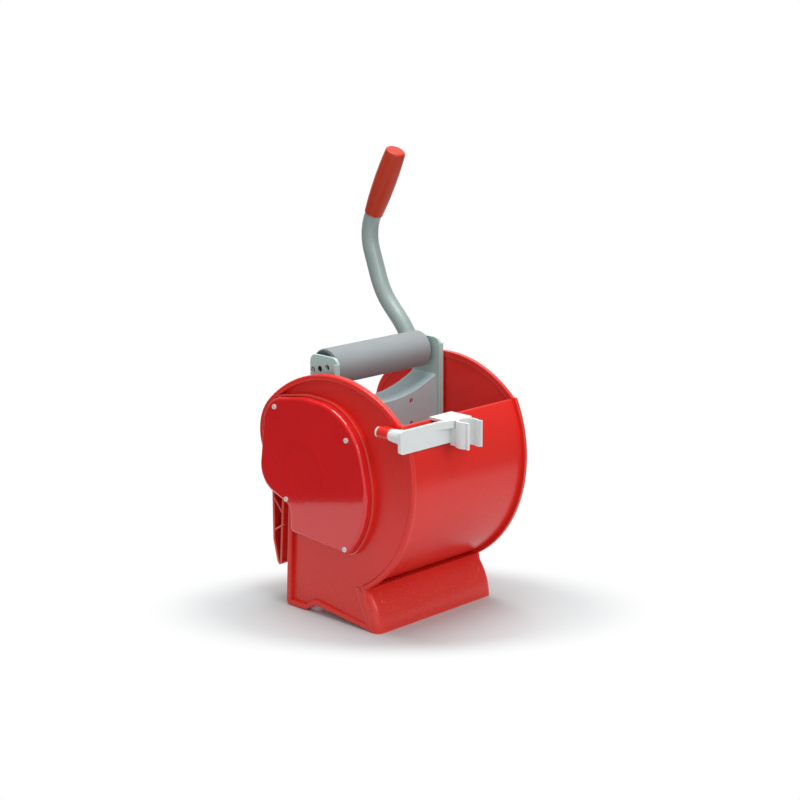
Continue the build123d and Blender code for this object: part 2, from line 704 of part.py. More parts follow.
def make_arm(inner_x, fold_x):
    """One pressed steel arm: a round foot on the shaft, a folded front edge, axle holes."""
    with BuildPart() as arm:
        with BuildSketch(Plane.YZ.offset(inner_x)):
            with Locations(axis_point):
                Circle(ARM_W / 2)
                Rectangle(ARM_W, ARM_TOP, align=(Align.CENTER, Align.MIN))
        extrude(amount=ARM_T)
        crest = arm.edges().filter_by(Axis.X).group_by(Axis.Z)[-1]
        fillet(crest, radius=ARM_CORNER)
        with BuildSketch(Plane.XY.offset(AXIS_Z + ARM_FOLD_FROM)):
            with Locations((fold_x, AXIS_Y - ARM_W / 2)):
                Rectangle(ARM_FOLD_W, ARM_FOLD_T, align=(Align.MIN, Align.MIN))
        extrude(amount=ARM_FOLD_TO - ARM_FOLD_FROM)
        with BuildSketch(Plane.YZ.offset(inner_x)):
            with Locations(axis_point):
                Circle(SHAFT_R)
            with Locations(*hole_points):
                Circle(HOLE_R)
            with Locations(*bolt_points):
                Circle(BOLT_R)
        extrude(amount=ARM_T, mode=Mode.SUBTRACT)
    return arm


arm_right = make_arm(ARM_IN, ARM_IN)
arm_left = make_arm(-ARM_OUT, -ARM_IN - ARM_FOLD_W)

# Collars that carry the arms on the shaft, each with a cross pin
with BuildPart() as arm_collars:
    with BuildSketch(Plane.YZ.offset(ARM_IN - COLLAR_L)):
        with Locations(axis_point):
            Circle(COLLAR_R)
            Circle(SHAFT_R, mode=Mode.SUBTRACT)
    extrude(amount=COLLAR_L)
    with BuildSketch(Plane.XY.offset(AXIS_Z)):
        with Locations((ARM_IN - COLLAR_L / 2, AXIS_Y)):
            Circle(COLLAR_PIN_R)
    extrude(amount=COLLAR_R + CUT_PAST, both=True, mode=Mode.SUBTRACT)
    mirror(about=Plane.YZ)

with BuildPart() as collar_pins:
    with BuildSketch(Plane.XY.offset(AXIS_Z)):
        with Locations((ARM_IN - COLLAR_L / 2, AXIS_Y), (-ARM_IN + COLLAR_L / 2, AXIS_Y)):
            Circle(COLLAR_PIN_R)
    extrude(amount=COLLAR_R, both=True)

# Press channel: front plate with a hollowed top edge, a curved top flange and two side tabs
plate_y = AXIS_Y - ARM_W / 2 + CHANNEL_BACK
half_gap = ARM_IN
sag_r = (half_gap**2 + CHANNEL_SAG**2) / (2 * CHANNEL_SAG)
sag_z = AXIS_Z + CHANNEL_MID + sag_r
horn_z = sag_z - sqrt(sag_r**2 - half_gap**2)
with BuildPart() as press_channel:
    with BuildSketch(Plane.XZ.offset(-plate_y)):
        with Locations((0, AXIS_Z + CHANNEL_FOOT)):
            Rectangle(2 * half_gap, horn_z - AXIS_Z - CHANNEL_FOOT, align=(Align.CENTER, Align.MIN))
        with Locations((0, sag_z)):
            Circle(sag_r, mode=Mode.SUBTRACT)
    extrude(amount=-CHANNEL_T)
    with BuildSketch(Plane.XZ.offset(-plate_y)):
        with Locations((0, sag_z)):
            Circle(sag_r + CHANNEL_T)
            Circle(sag_r, mode=Mode.SUBTRACT)
        with Locations((0, horn_z)):
            Rectangle(2 * half_gap, 2 * sag_r, align=(Align.CENTER, Align.MAX), mode=Mode.INTERSECT)
    extrude(amount=-CHANNEL_DEPTH)
    with BuildSketch(Plane.XZ.offset(-plate_y)):
        with Locations((0, AXIS_Z + CHANNEL_FOOT)):
            Rectangle(2 * half_gap, CHANNEL_T, align=(Align.CENTER, Align.MIN))
    extrude(amount=-CHANNEL_DEPTH / 2)
    for side in (-1, 1):
        inner = half_gap - CHANNEL_T if side > 0 else -half_gap
        with BuildSketch(Plane.YZ.offset(inner)):
            with Locations((plate_y, AXIS_Z + CHANNEL_FOOT)):
                Rectangle(CHANNEL_DEPTH, TAB_H, align=(Align.MIN, Align.MIN))
        extrude(amount=CHANNEL_T)
        with BuildSketch(Plane.YZ.offset(inner)):
            with Locations(*bolt_points):
                Circle(BOLT_R)
        extrude(amount=CHANNEL_T, mode=Mode.SUBTRACT)
    hole_top_z = AXIS_Z + CHANNEL_MID - CHANNEL_HOLE_DROP
    with BuildSketch(Plane.XZ.offset(-plate_y)):
        for side in (-1, 1):
            with Locations(
                (side * CHANNEL_HOLE_X, hole_top_z),
                (side * CHANNEL_HOLE_X, hole_top_z - CHANNEL_HOLE_PITCH),
            ):
                Circle(CHANNEL_HOLE_R)
    extrude(amount=-CHANNEL_T, mode=Mode.SUBTRACT)

# Bolts and nuts that hold the channel's tabs to the arms
with BuildPart() as channel_bolts:
    with BuildSketch(Plane.YZ.offset(ARM_OUT)):
        with Locations(*bolt_points):
            Circle(BOLT_HEAD_R)
    extrude(amount=BOLT_HEAD_H)
    with BuildSketch(Plane.YZ.offset(ARM_IN - CHANNEL_T - NUT_H)):
        with Locations(*bolt_points):
            Circle(BOLT_R)
    extrude(amount=ARM_T + CHANNEL_T + NUT_H)
    mirror(about=Plane.YZ)

with BuildPart() as channel_nuts:
    with BuildSketch(Plane.YZ.offset(ARM_IN - CHANNEL_T - NUT_H)):
        with Locations(*bolt_points):
            RegularPolygon(NUT_R, 6)
            Circle(BOLT_R, mode=Mode.SUBTRACT)
    extrude(amount=NUT_H)
    mirror(about=Plane.YZ)

# Roller: a grey sleeve on a tube, with plugs that run on a fixed axle
roller_point = (ROLLER_Y, ROLLER_Z)
with BuildPart() as roller_sleeve:
    with BuildSketch(Plane.YZ.offset(-ROLLER_L / 2)):
        with Locations(roller_point):
            Circle(ROLLER_R)
            Circle(ROLLER_TUBE_R, mode=Mode.SUBTRACT)
    extrude(amount=ROLLER_L)
    outer_rims = roller_sleeve.edges().filter_by(GeomType.CIRCLE).group_by(SortBy.RADIUS)[-1]
    fillet(outer_rims, radius=ROLLER_ROUND)

with BuildPart() as roller_tube:
    with BuildSketch(Plane.YZ.offset(-ROLLER_L / 2)):
        with Locations(roller_point):
            Circle(ROLLER_TUBE_R)
            Circle(ROLLER_TUBE_R - ROLLER_TUBE_T, mode=Mode.SUBTRACT)
    extrude(amount=ROLLER_L)

with BuildPart() as roller_plugs:
    with BuildSketch(Plane.YZ.offset(ROLLER_L / 2 - PLUG_L)):
        with Locations(roller_point):
            Circle(ROLLER_TUBE_R - ROLLER_TUBE_T)
    extrude(amount=PLUG_L)
    with BuildSketch(Plane.YZ.offset(ROLLER_L / 2)):
        with Locations(roller_point):
            Circle(PLUG_FLANGE_R)
    extrude(amount=PLUG_FLANGE_T)
    with BuildSketch(Plane.YZ.offset(ROLLER_L / 2 - PLUG_L)):
        with Locations(roller_point):
            Circle(AXLE_R + RUN_PLAY)
    extrude(amount=PLUG_L + PLUG_FLANGE_T, mode=Mode.SUBTRACT)
    mirror(about=Plane.YZ)

with BuildPart() as roller_axle:
    with BuildSketch(Plane.YZ.offset(-ARM_IN)):
        with Locations(roller_point):
            Circle(AXLE_R)
    extrude(amount=2 * ARM_IN)
    with BuildSketch(Plane.YZ.offset(ARM_IN - AXLE_SCREW_L + ARM_T)):
        with Locations(roller_point):
            Circle(AXLE_SCREW_R)
    extrude(amount=AXLE_SCREW_L - ARM_T, mode=Mode.SUBTRACT)
    with BuildSketch(Plane.YZ.offset(-ARM_IN)):
        with Locations(roller_point):
            Circle(AXLE_SCREW_R)
    extrude(amount=AXLE_SCREW_L - ARM_T, mode=Mode.SUBTRACT)

# Socket screws in the axle's ends, level with the arms' outer faces
with BuildPart() as axle_screws:
    with BuildSketch(Plane.YZ.offset(ARM_OUT - AXLE_SCREW_L)):
        with Locations(roller_point):
            Circle(AXLE_SCREW_R)
    extrude(amount=AXLE_SCREW_L)
    chamfer(axle_screws.faces().sort_by(Axis.X)[-1].edges(), length=AXLE_SCREW_CHAMFER)
    with BuildSketch(Plane.YZ.offset(ARM_OUT)):
        with Locations(roller_point):
            RegularPolygon(AXLE_SCREW_HEX_R, 6)
    extrude(amount=-AXLE_SCREW_HEX_D, mode=Mode.SUBTRACT)
    mirror(about=Plane.YZ)

# Lever hub: a collar on the shaft with a leaning socket for the tube
hub_mid_x = hub_x + HUB_L / 2


def lean_vector(lean):
    """Direction in the side view that leans to the rear from straight up."""
    return Vector(0, sin(radians(lean)), cos(radians(lean)))


lever_axis = Vector(hub_mid_x, AXIS_Y, AXIS_Z)
socket_dir = lean_vector(LEVER_LEAN)
socket_plane = Plane(origin=lever_axis, x_dir=(1, 0, 0), z_dir=socket_dir)
bolt_plane = Plane(
    origin=lever_axis + socket_dir * HUB_BOLT_AT,
    x_dir=socket_dir,
    z_dir=(1, 0, 0),
)
with BuildPart() as lever_hub:
    with BuildSketch(Plane.YZ.offset(hub_x)):
        with Locations(axis_point):
            Circle(HUB_R)
    extrude(amount=HUB_L)
    fillet(lever_hub.edges().filter_by(GeomType.CIRCLE), radius=HUB_ROUND)
    with BuildSketch(socket_plane):
        Circle(SOCKET_R)
    extrude(amount=SOCKET_L)
    fillet(lever_hub.edges().filter_by(GeomType.CIRCLE).sort_by(Axis.Z)[-1], radius=SOCKET_ROUND)
    with BuildSketch(socket_plane.offset(SOCKET_FLOOR)):
        Circle(TUBE_R)
    extrude(amount=SOCKET_L, mode=Mode.SUBTRACT)
    with BuildSketch(Plane.YZ.offset(hub_x)):
        with Locations(axis_point):
            Circle(SHAFT_R)
    extrude(amount=HUB_L, mode=Mode.SUBTRACT)
    with BuildSketch(bolt_plane):
        Circle(BOLT_R)
    extrude(amount=SOCKET_R + CUT_PAST, both=True, mode=Mode.SUBTRACT)

# Lever tube: straight runs joined by tangent bends
tube_start = lever_axis + socket_dir * SOCKET_FLOOR
corner_1 = lever_axis + socket_dir * LEVER_RUN_1
corner_2 = corner_1 + lean_vector(LEVER_LEAN_2) * LEVER_RUN_2
corner_3 = corner_2 + lean_vector(LEVER_LEAN_3) * LEVER_RUN_3
grip_dir = lean_vector(LEVER_LEAN_4)
tube_end = corner_3 + grip_dir * (GRIP_FROM + GRIP_L - GRIP_END)
with BuildPart() as lever_tube:
    with BuildLine():
        FilletPolyline(
            tube_start,
            corner_1,
            corner_2,
            corner_3,
            tube_end,
            radius=[LEVER_BEND_1, LEVER_BEND_2, LEVER_BEND_3],
        )
    with BuildSketch(Plane(origin=tube_start, x_dir=(1, 0, 0), z_dir=socket_dir)):
        Circle(TUBE_R)
        Circle(TUBE_R - TUBE_T, mode=Mode.SUBTRACT)
    sweep()
    with BuildSketch(bolt_plane):
        Circle(BOLT_R)
    extrude(amount=SOCKET_R + CUT_PAST, both=True, mode=Mode.SUBTRACT)

with BuildPart() as hub_bolt:
    with BuildSketch(bolt_plane.offset(SOCKET_R)):
        RegularPolygon(NUT_R, 6)
    extrude(amount=BOLT_HEAD_H)
    with BuildSketch(bolt_plane):
        Circle(BOLT_R)
    extrude(amount=SOCKET_R, both=True)

# Grip: a barrel sleeve with a closed flat end
grip_plane = Plane(origin=corner_3 + grip_dir * GRIP_FROM, x_dir=(1, 0, 0), z_dir=grip_dir)
with BuildPart() as lever_grip:
    with BuildSketch(Plane(origin=grip_plane.origin, x_dir=(1, 0, 0), z_dir=grip_plane.y_dir)):
        with BuildLine():
            ThreePointArc((GRIP_R_LOW, 0), (GRIP_R_MID, -GRIP_L / 2), (GRIP_R_TOP, -GRIP_L))
            Polyline(
                (GRIP_R_TOP, -GRIP_L),
                (0, -GRIP_L),
                (0, -GRIP_L + GRIP_END),
                (TUBE_R, -GRIP_L + GRIP_END),
                (TUBE_R, 0),
                (GRIP_R_LOW, 0),
            )
        make_face()
    revolve(axis=Axis(grip_plane.origin, grip_dir))
    fillet(lever_grip.edges().filter_by(GeomType.CIRCLE).sort_by(Axis.Z)[-1], radius=GRIP_ROUND)

# Screw and washer that hold the hub on the shaft's end
with BuildPart() as hub_washer:
    with BuildSketch(Plane.YZ.offset(shaft_right)):
        with Locations(axis_point):
            Circle(HUB_WASHER_R)
            Circle(HUB_SCREW_R, mode=Mode.SUBTRACT)
    extrude(amount=HUB_WASHER_T)

with BuildPart() as hub_screw:
    with BuildSketch(Plane.YZ.offset(shaft_right + HUB_WASHER_T)):
        with Locations(axis_point):
            RegularPolygon(HUB_SCREW_HEAD_R, 6)
    extrude(amount=HUB_SCREW_HEAD_H)
    with BuildSketch(Plane.YZ.offset(shaft_right - HUB_SCREW_L)):
        with Locations(axis_point):
            Circle(HUB_SCREW_R)
    extrude(amount=HUB_SCREW_L + HUB_WASHER_T)

# Stop arm on the left end of the shaft, hanging down at rest
stop_x = -BOSS_OUT - END_PLAY - STOP_T
with BuildPart() as stop_arm:
    with BuildSketch(Plane.YZ.offset(stop_x)):
        with Locations(axis_point):
            Circle(STOP_HUB_R)
            Rectangle(2 * STOP_HALF_W, STOP_R, align=(Align.CENTER, Align.MAX))
            Circle(SHAFT_R, mode=Mode.SUBTRACT)
    extrude(amount=STOP_T)
    tip = stop_arm.edges().filter_by(Axis.X).group_by(Axis.Z)[0]
    fillet(tip, radius=STOP_ROUND)

with BuildPart() as stop_circlip:
    with BuildSketch(Plane.YZ.offset(stop_x - CIRCLIP_T)):
        with Locations(axis_point):
            Circle(CIRCLIP_R)
            Circle(SHAFT_R - CIRCLIP_GROOVE, mode=Mode.SUBTRACT)
            Rectangle(CIRCLIP_MOUTH, 2 * CIRCLIP_R, align=(Align.CENTER, Align.MIN), mode=Mode.SUBTRACT)
    extrude(amount=CIRCLIP_T)

with BuildPart() as stop_bumpers:
    with BuildSketch(Plane.YZ.offset(stop_x)):
        with Locations(*bumper_points):
            Circle(BUMPER_R)
            Circle(BUMPER_HOLE_R, mode=Mode.SUBTRACT)
    extrude(amount=-WEB_OUT - stop_x)

# White handle clip: hub on the pin, blade past the flange, tongue on the wall's edge, snap ring
hub_back = CLIP_BOSS_Y - CLIP_BOSS_L - CLIP_GAP
blade_top_z = CLIP_Z + CLIP_BLADE_TOP
blade_back = circle_y(axis_point, FLANGE_R, blade_top_z - CLIP_BLADE_H, -1) - CLIP_BLADE_CLEAR
blade_front = blade_back - CLIP_BLADE_T
block_left = CLIP_BLOCK_X - CLIP_BLOCK_W / 2
block_right = CLIP_BLOCK_X + CLIP_BLOCK_W / 2
block_z = WALL_TOP_Z + CLIP_BLOCK_LIFT
ring_y = blade_front - CLIP_REACH
edge_y = circle_y(axis_point, WALL_R - WALL_T / 2, WALL_TOP_Z, -1)
with BuildPart() as clip_arm:
    # Hub that widens from the boss to the blade
    with BuildSketch(Plane.XZ.offset(-hub_back)):
        with Locations((CLIP_X, CLIP_Z)):
            Circle(CLIP_BOSS_R)
    with BuildSketch(Plane.XZ.offset(-blade_back)):
        with Locations((CLIP_X, CLIP_Z)):
            Circle(CLIP_HUB_R)
    loft()
    blade_left = CLIP_X - CLIP_HUB_R
    with BuildSketch(Plane.XZ.offset(-blade_back)) as blade:
        with Locations((blade_left, blade_top_z)):
            Rectangle(block_right - blade_left, CLIP_BLADE_H, align=(Align.MIN, Align.MAX))
        fillet(blade.vertices().group_by(Axis.X)[0], radius=CLIP_BLADE_ROUND)
    extrude(amount=CLIP_BLADE_T)
    # Flat tongue that lies on the wall's top edge, and a bracket ahead of the blade
    with BuildSketch(Plane.XY.offset(block_z)):
        with Locations((CLIP_BLOCK_X, edge_y)):
            Rectangle(CLIP_BLOCK_W, edge_y - blade_front, align=(Align.CENTER, Align.MAX))
    extrude(amount=CLIP_BLOCK_T)
    with BuildSketch(Plane.XY.offset(block_z + CLIP_BLOCK_T)):
        with BuildLine():
            Polyline(
                (block_left - CLIP_BRACKET_LEAD, blade_front),
                (block_left + CLIP_BRACKET_CUT, blade_front - CLIP_BRACKET_OUT),
                (block_right, blade_front - CLIP_BRACKET_OUT),
                (block_right, blade_front),
                close=True,
            )
        make_face()
    extrude(amount=-CLIP_BRACKET_H)
    # Snap ring on its neck, open to the front between two flared prongs
    with BuildSketch(Plane.XY.offset(block_z + CLIP_BLOCK_T)):
        with Locations((CLIP_BLOCK_X, ring_y)):
            Circle(CLIP_RING_R + CLIP_RING_T)
            Rectangle(CLIP_NECK_W, CLIP_REACH, align=(Align.CENTER, Align.MIN))
            Circle(CLIP_RING_R, mode=Mode.SUBTRACT)
            Rectangle(CLIP_MOUTH, 2 * CLIP_RING_R, align=(Align.CENTER, Align.MAX), mode=Mode.SUBTRACT)
        for side in (-1, 1):
            with BuildLine():
                Line(
                    (CLIP_BLOCK_X + side * CLIP_PRONG_IN, ring_y - CLIP_PRONG_FROM),
                    (CLIP_BLOCK_X + side * CLIP_PRONG_OUT, ring_y - CLIP_PRONG_TO),
                )
            trace(line_width=CLIP_PRONG_T)
    extrude(amount=-CLIP_RING_H)
    # Room for the ring inside the bracket, and the blind hole for the pin
    with BuildSketch(Plane.XY.offset(block_z + CLIP_BLOCK_T)):
        with Locations((CLIP_BLOCK_X, ring_y)):
            Circle(CLIP_RING_R)
    extrude(amount=-CLIP_RING_H, mode=Mode.SUBTRACT)
    with BuildSketch(Plane.XZ.offset(-hub_back)):
        with Locations((CLIP_X, CLIP_Z)):
            Circle(CLIP_PIN_R)
    extrude(amount=hub_back - blade_back, mode=Mode.SUBTRACT)

# White pin, fixed in the clip's hub, with a cap behind the boss
cap_y = CLIP_BOSS_Y + CLIP_GAP
with BuildPart() as clip_pin:
    with BuildSketch(Plane.XZ.offset(-cap_y)):
        with Locations((CLIP_X, CLIP_Z)):
            Circle(CLIP_HEAD_R)
    extrude(amount=-CLIP_HEAD_T)
    fillet(clip_pin.faces().sort_by(Axis.Y)[-1].edges(), radius=CLIP_HEAD_ROUND)
    with BuildSketch(Plane.XZ.offset(-cap_y)):
        with Locations((CLIP_X, CLIP_Z)):
            Circle(CLIP_PIN_R)
    extrude(amount=cap_y - blade_back)

nodes = {
    "body": body,
    "cover": cover,
    "cover_screws": cover_screws,
    "shaft_bushes": shaft_bushes,
    "main_shaft": main_shaft,
    "arm_left": arm_left,
    "arm_right": arm_right,
    "arm_collars": arm_collars,
    "collar_pins": collar_pins,
    "press_channel": press_channel,
    "channel_bolts": channel_bolts,
    "channel_nuts": channel_nuts,
    "roller_sleeve": roller_sleeve,
    "roller_tube": roller_tube,
    "roller_plugs": roller_plugs,
    "roller_axle": roller_axle,
    "axle_screws": axle_screws,
    "lever_hub": lever_hub,
    "lever_tube": lever_tube,
    "hub_bolt": hub_bolt,
    "lever_grip": lever_grip,
    "hub_washer": hub_washer,
    "hub_screw": hub_screw,
    "stop_arm": stop_arm,
    "stop_circlip": stop_circlip,
    "stop_bumpers": stop_bumpers,
    "clip_arm": clip_arm,
    "clip_pin": clip_pin,
}

os.makedirs("parts", exist_ok=True)
for name, builder in nodes.items():
    builder.part.label = name
    export_step(builder.part, f"parts/{name}.step")
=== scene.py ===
"""Looks of the roller mop wringer: finishes for its pieces, a pale floor and soft studio light."""

import bmesh
import bpy
import numpy as np
from mathutils import Matrix, Vector


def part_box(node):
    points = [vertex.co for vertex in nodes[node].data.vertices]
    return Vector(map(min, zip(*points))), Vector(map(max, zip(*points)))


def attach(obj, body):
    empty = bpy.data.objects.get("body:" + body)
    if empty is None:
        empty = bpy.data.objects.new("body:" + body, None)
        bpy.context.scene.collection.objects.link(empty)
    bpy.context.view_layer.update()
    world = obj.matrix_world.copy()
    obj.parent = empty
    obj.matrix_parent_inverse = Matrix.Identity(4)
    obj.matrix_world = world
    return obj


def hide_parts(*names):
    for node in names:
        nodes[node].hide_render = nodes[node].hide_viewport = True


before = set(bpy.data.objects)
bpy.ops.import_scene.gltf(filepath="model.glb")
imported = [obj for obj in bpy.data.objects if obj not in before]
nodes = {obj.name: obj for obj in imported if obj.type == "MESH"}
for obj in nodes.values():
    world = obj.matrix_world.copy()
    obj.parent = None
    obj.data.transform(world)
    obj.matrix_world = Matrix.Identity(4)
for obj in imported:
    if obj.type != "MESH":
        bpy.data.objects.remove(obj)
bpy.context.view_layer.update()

# Drum housing. The real one is a single injection moulding in red polypropylene with a satin skin:
# plates, front wall, feet, skirt and bucket hook in one. It stands on its skirt and rear feet, so the
# lower edge is scuffed. All its edges carry a painted highlight, a paler tint along them.
SCUFFED_TO = 0.02
SCUFFS_END = 0.08
RIM_HIGHLIGHT_WIDTH = 0.0024


class Wire:
    """An output socket of a shader node. Arithmetic on wires adds Math nodes."""

    def __init__(self, socket):
        self.socket = socket
        self.tree = socket.id_data

    def node(self, kind, settings, sockets, output=0):
        """Add any node: its type, then its settings, then its sockets' values or links."""
        made = self.tree.nodes.new(kind)
        for name, value in settings.items():
            setattr(made, name, value)
        for key, value in sockets.items():
            if isinstance(value, Wire):
                self.tree.links.new(value.socket, made.inputs[key])
            else:
                made.inputs[key].default_value = value
        return Wire(made.outputs[output])

    def math(self, operation, first, second):
        """Add a Math node on two values, each a wire or a number."""
        return self.node("ShaderNodeMath", {"operation": operation}, {0: first, 1: second})

    def __add__(self, other):
        return self.math("ADD", self, other)

    __radd__ = __add__

    def __sub__(self, other):
        return self.math("SUBTRACT", self, other)

    def __rsub__(self, other):
        return self.math("SUBTRACT", other, self)

    def __mul__(self, other):
        return self.math("MULTIPLY", self, other)

    __rmul__ = __mul__


def paint(red, green, blue):
    """A colour as a paint chart gives it, 0 to 255 in each channel, made linear."""
    shares = np.array([red, green, blue]) / 255
    low = shares / 12.92
    high = ((shares + 0.055) / 1.055) ** 2.4
    return (*np.where(shares <= 0.04045, low, high).tolist(), 1.0)


def start_finish(name, constants):
    """A new material with its shader's even values set; gives it and the piece's own coordinates."""
    finish = bpy.data.materials.new(name)
    finish.use_nodes = True
    shader = finish.node_tree.nodes["Principled BSDF"]
    for key, value in constants.items():
        shader.inputs[key].default_value = value
    return finish, Wire(shader.outputs[0]).node("ShaderNodeTexCoord", {}, {}, output="Object")


def feed(finish, sockets):
    """Link wires to the sockets of a finish's shader."""
    shader = finish.node_tree.nodes["Principled BSDF"]
    for key, wire in sockets.items():
        finish.node_tree.links.new(wire.socket, shader.inputs[key])


def cloud(place, scale, detail):
    """Soft noise from 0 to 1, with a number of blotches per metre."""
    return place.node("ShaderNodeTexNoise", {}, {"Vector": place, "Scale": scale, "Detail": detail})


def stretched(place, factors):
    """The same coordinates drawn out along some axes, for streaks."""
    return place.node("ShaderNodeVectorMath", {"operation": "MULTIPLY"}, {0: place, 1: factors})


def step_up(value, low, high):
    """A mask that rises smoothly from 0 at low to 1 at high."""
    return value.node(
        "ShaderNodeMapRange",
        {"interpolation_type": "SMOOTHSTEP"},
        {"Value": value, "From Min": low, "From Max": high},
    )


def edge_highlight_mask(place, width):
    """A mask that is 1 along outer edges, where little of the piece lies within a width inside the skin; it
    places painted edge highlights.
    """
    within = place.node(
        "ShaderNodeAmbientOcclusion",
        {"inside": True, "only_local": True, "samples": 8},
        {"Distance": width},
        output="AO",
    )
    return step_up(1 - within, 0.06, 0.4)


def tint(mask, first, second):
    """A colour between two others, by a mask."""
    return mask.node("ShaderNodeMix", {"data_type": "RGBA"}, {0: mask, 6: first, 7: second}, output=2)


def relief(height, distance, strength):
    """A surface normal from a height, in metres of depth."""
    return height.node(
        "ShaderNodeBump", {}, {"Height": height, "Distance": distance, "Strength": strength}
    )


def wear(finish, names):
    """Give a finish to CAD pieces, in place of the plain one they came with."""
    for name in names:
        nodes[name].data.materials.clear()
        nodes[name].data.materials.append(finish)


drum_red, place = start_finish("drum_red", {"Specular IOR Level": 0.42})
flow = cloud(place, 9, 3)
skin = cloud(place, 1300, 2)
peel = cloud(place, 70, 1)
height = place.node("ShaderNodeSeparateXYZ", {}, {0: place}, output="Z")
near_floor = 1 - step_up(height, SCUFFED_TO, SCUFFS_END)
scuff = near_floor * step_up(cloud(stretched(place, (1, 1, 3)), 160, 4), 0.55, 0.75)
# Painted highlight: the edges are tinted pale, as rounded rims catching light. The same pale colour also
# marks the scuffs near the floor.
edges = edge_highlight_mask(place, RIM_HIGHLIGHT_WIDTH)
red = tint(flow, paint(214, 36, 29), paint(226, 44, 36))
feed(
    drum_red,
    {
        "Base Color": tint(edges * 0.55 + near_floor * 0.12 + scuff * 0.2, red, paint(230, 112, 98)),
        "Roughness": 0.2 + flow * 0.1 + skin * 0.06 + scuff * 0.12,
        "Normal": relief(peel * 0.6 + skin * 0.08, 0.0006, 0.35),
    },
)
wear(drum_red, ["body"])

# Side cover and its four screws. The cover is a tray moulded in the same red and polished to a mirror,
# so that it shows fine wiping marks. Zinc plated pan head screws with a milky bloom hold it on the case.
cover_red, place = start_finish("cover_red", {"Coat Weight": 0.4, "Coat Roughness": 0.05})
flow = cloud(place, 12, 2)
wiped = step_up(cloud(stretched(place, (1, 25, 3)), 90, 5), 0.55, 0.8)
dust = step_up(cloud(place, 900, 1), 0.66, 0.78)
deep_red = tint(flow, paint(212, 23, 27), paint(222, 29, 32))
feed(
    cover_red,
    {
        "Base Color": tint(dust * 0.12, deep_red, paint(220, 150, 150)),
        "Roughness": 0.08 + wiped * 0.06 + dust * 0.1,
        "Normal": relief(cloud(place, 60, 1), 0.0003, 0.25),
    },
)
wear(cover_red, ["cover"])

milky_zinc, place = start_finish("milky_zinc", {"Metallic": 0.2})
bloom = cloud(place, 1800, 2)
feed(
    milky_zinc,
    {
        "Base Color": tint(bloom, paint(222, 214, 212), paint(240, 234, 232)),
        "Roughness": 0.3 + bloom * 0.16,
    },
)
wear(milky_zinc, ["cover_screws"])

# Main shaft with its bushes, collars and fasteners. The shaft is plated steel bar, drawn bright along its
# length, and so are the collars, the roller's core and the stop. The bushes are natural nylon, pressed into
# the bosses. Pins, bolts, nuts and washers are bright zinc plated steel.
plated_bar, place = start_finish("plated_bar", {"Metallic": 1.0})
drawn = cloud(stretched(place, (60, 1, 1)), 30, 3)
feed(
    plated_bar,
    {
        "Base Color": tint(drawn, paint(158, 164, 164), paint(186, 190, 190)),
        "Roughness": 0.3 + drawn * 0.16,
    },
)
wear(plated_bar, ["main_shaft", "arm_collars", "roller_tube", "roller_axle", "stop_arm"])

natural_nylon, place = start_finish("natural_nylon", {"Subsurface Weight": 0.1})
milk = cloud(place, 300, 2)
feed(
    natural_nylon,
    {
        "Base Color": tint(milk, paint(222, 220, 208), paint(234, 232, 224)),
        "Roughness": 0.42 + milk * 0.14,
    },
)
wear(natural_nylon, ["shaft_bushes"])

bright_zinc, place = start_finish("bright_zinc", {"Metallic": 1.0})
grain = cloud(place, 2500, 2)
feed(
    bright_zinc,
    {
        "Base Color": tint(grain, paint(198, 200, 202), paint(226, 227, 228)),
        "Roughness": 0.24 + grain * 0.16,
    },
)
wear(bright_zinc, ["collar_pins", "channel_bolts", "channel_nuts", "stop_circlip"])
wear(bright_zinc, ["hub_bolt", "hub_washer", "hub_screw"])

# Carriage arms. Pressed steel plates, zinc plated and then dulled by a pale green passivation, with the
# rolling direction of the sheet still showing. Their edges carry a painted highlight. Collars on the shaft
# carry them.
SHEET_HIGHLIGHT_WIDTH = 0.0008
arm_zinc, place = start_finish("arm_zinc", {})
rolled = cloud(stretched(place, (1, 1, 0.04)), 700, 3)
bloom = cloud(place, 55, 4)
# Painted highlight: the edges are tinted near white and made partly metallic.
edges = edge_highlight_mask(place, SHEET_HIGHLIGHT_WIDTH)
passivated = tint(bloom, paint(168, 198, 192), paint(188, 217, 211))
feed(
    arm_zinc,
    {
        "Base Color": tint(edges, passivated, paint(230, 241, 238)),
        "Metallic": bloom * 0.16 + edges * 0.3,
        "Roughness": 0.36 + rolled * 0.14 + bloom * 0.08,
        "Normal": relief(rolled, 0.0002, 0.3),
    },
)
wear(arm_zinc, ["arm_left", "arm_right"])

# Press channel. One sheet of steel between the arms, folded to a channel with a hollowed top edge. It is
# plated like the arms but duller, and its side tabs are bolted to them. Its edges carry a painted highlight.
channel_zinc, place = start_finish("channel_zinc", {})
rolled = cloud(stretched(place, (0.04, 1, 1)), 700, 3)
bloom = cloud(place, 48, 4)
# Painted highlight: the edges are tinted pale and made partly metallic.
edges = edge_highlight_mask(place, SHEET_HIGHLIGHT_WIDTH)
dull = tint(bloom, paint(164, 185, 188), paint(184, 205, 208))
feed(
    channel_zinc,
    {
        "Base Color": tint(edges, dull, paint(222, 228, 229)),
        "Metallic": bloom * 0.16 + edges * 0.3,
        "Roughness": 0.4 + rolled * 0.14 + bloom * 0.1,
        "Normal": relief(rolled, 0.0002, 0.3),
    },
)
wear(channel_zinc, ["press_channel"])

# Roller. A matte grey rubber sleeve, ground round on its tube, which leaves fine rings, and dark
# grey-green plastic plugs pressed into its ends.
ground_rubber, place = start_finish("ground_rubber", {"Specular IOR Level": 0.3})
rings = cloud(stretched(place, (1, 0.02, 0.02)), 1400, 2)
crumb = cloud(place, 900, 3)
smear = cloud(place, 24, 3)
feed(
    ground_rubber,
    {
        "Base Color": tint(smear * 0.6 + crumb * 0.4, paint(133, 138, 140), paint(154, 159, 161)),
        "Roughness": 0.7 + crumb * 0.2,
        "Normal": relief(rings * 0.5 + crumb * 0.5, 0.0003, 0.5),
    },
)
wear(ground_rubber, ["roller_sleeve"])

